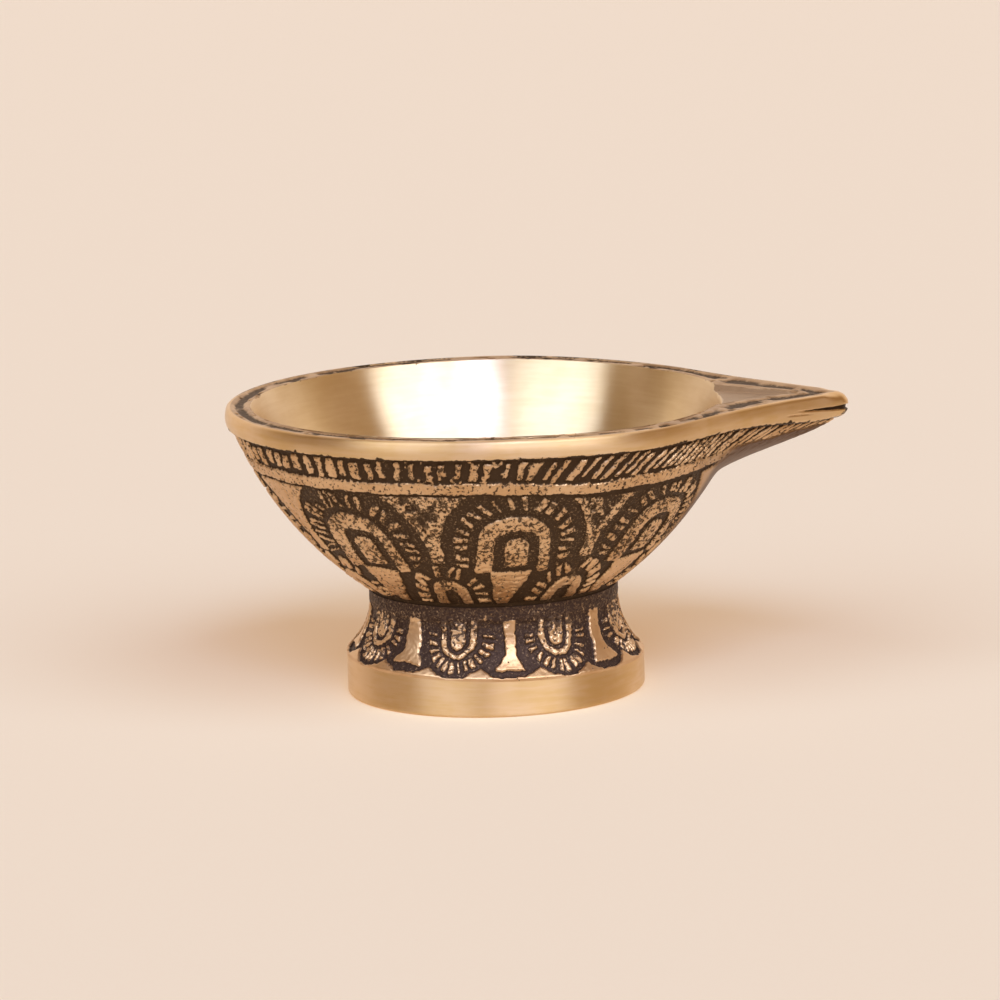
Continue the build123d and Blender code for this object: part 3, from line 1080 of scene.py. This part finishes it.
def turned_brass(name, polish, spread, bright, deep):
    """Lathe-turned metal: fine rings about the axis, a soft sheen and a few dark specks."""
    g = material_graph(name)
    marks = g.noise(g.rings(), 0.22, 4.0, 0.7)
    broad = g.noise(g.rings(), 2.2, 2.0)
    cloud = g.noise(g.place(), 6.0, 3.0)
    streak = g.noise(g.stretched(0.12), 0.5, 3.0)
    speck = g.noise(g.place(), 0.25, 2.0)
    dark_share = g.span(g.plus(g.value("patina"), g.swing(speck, 0.8)), 0.4, 0.8)
    cast = g.value("cast")
    uneven = g.plus(g.times(cloud, 0.6), g.times(streak, 0.4))
    metal = g.mix(g.span(uneven, 0.35, 0.65), bright, deep)
    metal = g.mix(g.times(cast, 0.8), metal, cast_brown)
    solid = g.minus(1.0, g.times(cast, 0.5))
    shine = g.plus(g.plus(polish, g.swing(marks, 0.12)), g.times(cast, 0.25))
    g.coat(dark_share, metal, bowl_dark, (solid, 0.8), (shine, 0.6))
    g.shader.inputs["Anisotropic"].default_value = spread
    g.shader.inputs["Anisotropic Rotation"].default_value = 0.25
    tangent = g.add("Tangent", direction_type="RADIAL", axis="Z")
    g.join(tangent.outputs[0], g.shader.inputs["Tangent"])
    g.bump(g.plus(marks, g.times(broad, 0.6)), 0.02, 0.35)
    return g.holder


def hammered_brass(name):
    """Dull worn metal of the rim's top and the hidden cast faces."""
    g = material_graph(name)
    fine = g.noise(g.place(), 0.35, 3.0, 0.6)
    broad = g.noise(g.place(), 3.0, 2.0)
    dark_share = g.span(g.plus(g.value("patina"), g.swing(fine, 0.7)), 0.35, 0.85)
    metal = g.mix(g.span(broad, 0.3, 0.7), rim_bright, rim_deep)
    g.coat(dark_share, metal, bowl_dark, (0.95, 0.8), (0.42, 0.6))
    g.bump(fine, 0.05, 0.5)
    return g.holder


def fastener_brass(name):
    """Plain machined brass of the screw and washer, duller in random patches."""
    g = material_graph(name)
    marks = g.noise(g.rings(), 0.15, 3.0, 0.6)
    cloud = g.noise(g.place(), 1.5, 3.0)
    metal = g.mix(g.span(cloud, 0.35, 0.7), brass_bright, fastener_deep)
    g.join(metal, g.shader.inputs["Base Color"])
    g.shader.inputs["Metallic"].default_value = 1.0
    g.join(g.span(marks, 0.2, 0.8, 0.28, 0.42), g.shader.inputs["Roughness"])
    g.bump(marks, 0.015, 0.4)
    return g.holder


def floor_paper(name):
    """Pale matt paper under and behind the lamp, with a painted warm glow that lightens its shadows."""
    g = material_graph(name)
    grain = g.noise(g.place(), 0.8, 3.0)
    g.join(g.mix(grain, paper_low, paper_high), g.shader.inputs["Base Color"])
    g.shader.inputs["Roughness"].default_value = 0.9
    g.shader.inputs["Specular IOR Level"].default_value = 0.15
    # Painted glow: the paper gives off a faint warm light of its own, so the shadows on it stay pale and
    # warm.
    g.shader.inputs["Emission Color"].default_value = painted_paper_glow
    g.shader.inputs["Emission Strength"].default_value = 1.0
    g.bump(grain, 0.03, 0.2)
    return g.holder


# Pieces
bowl_finishes = [
    carved_brass("bowl_carved", bowl_dark),
    turned_brass("lip_turned", 0.42, 0.9, lip_bright, lip_deep),
    hammered_brass("rim_hammered"),
    turned_brass("inside_turned", 0.33, 0.95, inside_bright, inside_deep),
]
foot_finishes = [
    carved_brass("foot_carved", foot_dark_with_painted_shade),
    turned_brass("ring_turned", 0.42, 0.97, lip_bright, lip_deep),
    hammered_brass("foot_cast"),
]
bowl_piece = ring_skin(
    "bowl_body",
    bowl_rings(),
    bowl_finishes,
    first_point=(0, 0, hole_end),
    last_point=(0, 0, inside_floor),
)
foot_piece = ring_skin("foot_body", foot_rings(), foot_finishes, closed=True)
for piece, node, slot in ((bowl_piece, "bowl", "bowl_brass"), (foot_piece, "foot", "foot_brass")):
    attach(piece, "root")
    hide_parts(node)

machined = fastener_brass("fastener_brass")
for node in ("clamp_screw", "screw_washer"):
    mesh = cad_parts[node].data
    mesh.materials.clear()
    mesh.materials.append(machined)


# Floor, light and camera
floor_half = 6000.0


def paper_floor():
    """A large sheet of paper under the lamp."""
    half = floor_half * MM
    corners = [(-half, -half, 0), (half, -half, 0), (half, half, 0), (-half, half, 0)]
    mesh = bpy.data.meshes.new("paper_floor")
    mesh.from_pydata(corners, [], [(0, 1, 2, 3)])
    mesh.materials.append(floor_paper("floor_paper"))
    sheet = bpy.data.objects.new("paper_floor", mesh)
    bpy.context.scene.collection.objects.link(sheet)


def look_at(name, data, turn, elevation, distance, roll=0.0, target=(0.0, 0.0)):
    """Adds a lamp or camera that looks at a target, given across and up. Turn 0 is straight in front."""
    thing = bpy.data.objects.new(name, data)
    thing.matrix_world = (
        Matrix.Rotation(turn, 4, "Z")
        @ Matrix.Translation((target[0] * MM, 0, target[1] * MM))
        @ Matrix.Rotation(math.pi / 2 - elevation, 4, "X")
        @ Matrix.Rotation(roll, 4, "Z")
        @ Matrix.Translation((0, 0, distance * MM))
    )
    bpy.context.scene.collection.objects.link(thing)
    return thing


def far_lamp(name, azimuth, elevation, spread, strength, tint):
    """A round soft light, far away, as wide as spread degrees."""
    lamp = bpy.data.lights.new(name, "SUN")
    lamp.angle = math.radians(spread)
    lamp.energy = strength
    lamp.color = tint
    look_at(name, lamp, math.radians(azimuth), math.radians(elevation), lamp_distance)


camera_distance = 649.05
camera_elevation = 0.18555  # radians above the floor
camera_turn = 0.02462  # radians that the lamp's spout is turned from the picture's plane
camera_roll = -0.03259
camera_aim = (1.2204, 24.3716)  # point that the middle of the picture shows, across and up
focal_share = 5.02209  # focal length over the picture's width


def photo_camera():
    """The camera at the photograph's place, in the frame of the lamp."""
    data = bpy.data.cameras.new("camera")
    data.lens = data.sensor_width * focal_share
    data.clip_start, data.clip_end = 0.05, 20
    bpy.context.scene.camera = look_at(
        "camera", data, camera_turn, camera_elevation, camera_distance, camera_roll, camera_aim
    )


paper_tone = colour(239, 220, 203)  # what the camera sees past the floor's edge
room_tone = colour(222, 165, 84)
room_strength = (0.28, 0.42)  # to the left and to the right
back_strength = 1.15
side_range = (-0.6, 0.6)  # where the room goes over from left to right, and from the front to the back
back_range = (0.2, 0.7)
lamp_tint = (0.79, 0.865, 1.0)
front_tint = (0.58, 0.66, 1.0)
lamp_distance = 2000.0
lamps = {  # azimuth, elevation and spread in degrees, strength and tint
    "lamp_left": (-41, 42, 47, 1.5, lamp_tint),
    "lamp_right": (41, 42, 47, 1.86, lamp_tint),
    "lamp_front": (5, 42, 20, 1.05, front_tint),
}


def room():
    """Warm light from all round, paler behind the lamp. The camera sees it as more paper."""
    world = bpy.data.worlds.new("room")
    g = Graph(world, "World")

    def light(tone, strength):
        return g.add("Background", {"Color": tone, "Strength": strength}).outputs[0]

    def mix(share, a, b):
        return g.add("MixShader", enumerate((share, a, b))).outputs[0]

    x, y = g.add("SeparateXYZ", {0: g.place("Generated")}).outputs[:2]
    left, right = [light(room_tone, strength) for strength in room_strength]
    around = mix(g.span(x, *side_range, shape="LINEAR"), left, right)
    lit = mix(g.span(y, *back_range, shape="LINEAR"), around, light(paper_tone, back_strength))
    seen = g.add("LightPath").outputs["Is Camera Ray"]
    g.join(mix(seen, lit, light(paper_tone, 1.0)), g.output)
    bpy.context.scene.world = world
    world.cycles_visibility.diffuse = False


def studio():
    """The room, two wide lamps in front and a narrow one between them."""
    room()
    for name, facts in lamps.items():
        far_lamp(name, *facts)
    view = bpy.context.scene.view_settings
    view.view_transform = "Standard"
    view.look = "None"
    view.exposure = 0.0


paper_floor()
studio()
photo_camera()
